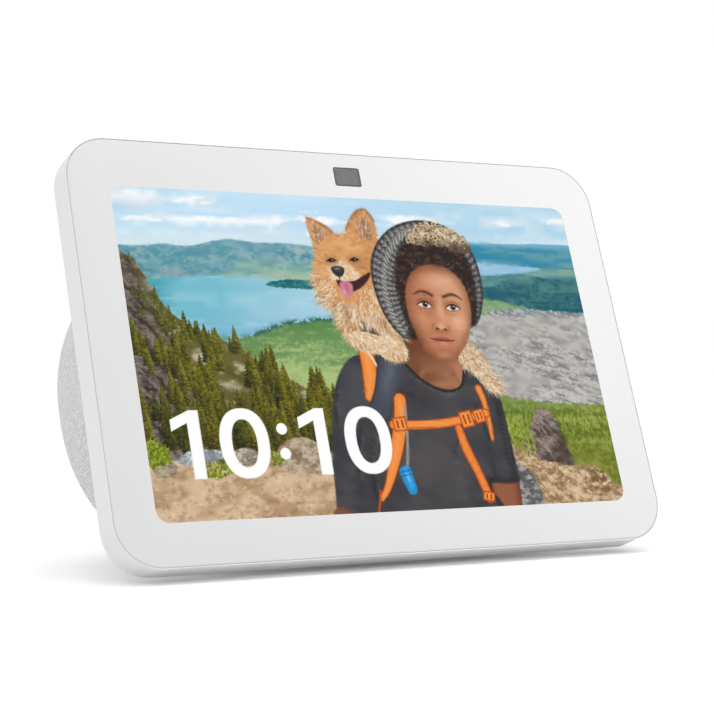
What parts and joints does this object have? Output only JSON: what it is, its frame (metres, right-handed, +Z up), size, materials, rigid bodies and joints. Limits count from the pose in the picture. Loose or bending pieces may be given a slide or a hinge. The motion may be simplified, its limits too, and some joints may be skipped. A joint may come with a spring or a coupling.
{
  "type": "smart display",
  "caption": "Tabletop touch screen in a white frame, leaning back on a knit covered speaker dome, with push buttons and a camera shutter on its top edge.",
  "frame": {"origin": "middle of the object's footprint, on the surface it stands on", "axes": "+Z up, the screen faces -Y and leans back 20 degrees, +X to the right of a person facing the screen"},
  "size_m": [0.2, 0.1058, 0.1344],
  "materials": {
    "cover_glass": "gloss",
    "window": "gloss",
    "housing_white": "satin",
    "fabric_grey": "matte knit",
    "black_plastic": "satin",
    "lens": "gloss",
    "rubber_grey": "matte",
    "circuit_board": "satin",
    "steel": "satin",
    "aluminium": "matte",
    "lcd": "gloss",
    "reflector": "satin",
    "flex": "satin",
    "cone": "matte",
    "magnet": "plated"
  },
  "bodies": {
    "chassis": {"cover_glass": "cover_glass", "camera_window": "window", "display_gasket": "black_plastic", "lcd_panel": "lcd", "backlight_unit": "reflector", "mid_frame": "aluminium", "front_housing": "housing_white", "tact_switch_1": "black_plastic", "tact_switch_2": "black_plastic", "tact_switch_3": "black_plastic", "button_board": "circuit_board", "camera_module": "black_plastic", "camera_lens": "lens", "light_sensor": "black_plastic", "mic_board": "circuit_board", "main_board": "circuit_board", "shield_can": "steel", "heat_spreader": "aluminium", "display_flex": "flex", "camera_flex": "flex", "wifi_antenna_left": "circuit_board", "wifi_antenna_right": "circuit_board", "speaker_housing": "housing_white", "fabric_cover": "fabric_grey", "housing_screw_1": "steel", "housing_screw_2": "steel", "housing_screw_3": "steel", "housing_screw_4": "steel", "speaker_box": "black_plastic", "driver_frame_left": "steel", "driver_magnet_left": "magnet", "driver_surround_left": "rubber_grey", "driver_frame_right": "steel", "driver_magnet_right": "magnet", "driver_surround_right": "rubber_grey", "radiator_frame": "black_plastic", "radiator_surround": "rubber_grey", "speaker_cable_left": "black_plastic", "speaker_cable_right": "black_plastic", "base_plate": "housing_white", "base_screw_1": "steel", "base_screw_2": "steel", "base_screw_3": "steel", "base_screw_4": "steel", "foot_pad": "rubber_grey", "port_bezel": "black_plastic", "dc_jack": "black_plastic"},
    "mic_button": {"mic_button": "housing_white"},
    "volume_down_button": {"volume_down_button": "housing_white"},
    "volume_up_button": {"volume_up_button": "housing_white"},
    "shutter": {"shutter_slider": "housing_white"},
    "cone_left": {"driver_cone_left": "cone"},
    "cone_right": {"driver_cone_right": "cone"},
    "radiator": {"radiator_plate": "cone"}
  },
  "joints": [
    {"name": "mic_button_press", "type": "slide", "parent": "chassis", "child": "mic_button", "axis": [0, -0.342, -0.9397], "range_m": [0, 0.0006], "stiffness_N_per_m": 1500, "springref_m": -0.0003},
    {"name": "volume_down_press", "type": "slide", "parent": "chassis", "child": "volume_down_button", "axis": [0, -0.342, -0.9397], "range_m": [0, 0.0006], "stiffness_N_per_m": 1500, "springref_m": -0.0003},
    {"name": "volume_up_press", "type": "slide", "parent": "chassis", "child": "volume_up_button", "axis": [0, -0.342, -0.9397], "range_m": [0, 0.0006], "stiffness_N_per_m": 1500, "springref_m": -0.0003},
    {"name": "shutter_slide", "type": "slide", "parent": "chassis", "child": "shutter", "axis": [-1, 0, 0], "range_m": [0, 0.011]},
    {"name": "cone_left_travel", "type": "slide", "parent": "chassis", "child": "cone_left", "axis": [-1, 0, 0], "range_m": [-0.0015, 0.0015], "stiffness_N_per_m": 1200},
    {"name": "cone_right_travel", "type": "slide", "parent": "chassis", "child": "cone_right", "axis": [1, 0, 0], "range_m": [-0.0015, 0.0015], "stiffness_N_per_m": 1200},
    {"name": "radiator_travel", "type": "slide", "parent": "chassis", "child": "radiator", "axis": [0, 1, 0], "range_m": [-0.002, 0.002], "stiffness_N_per_m": 900}
  ]
}
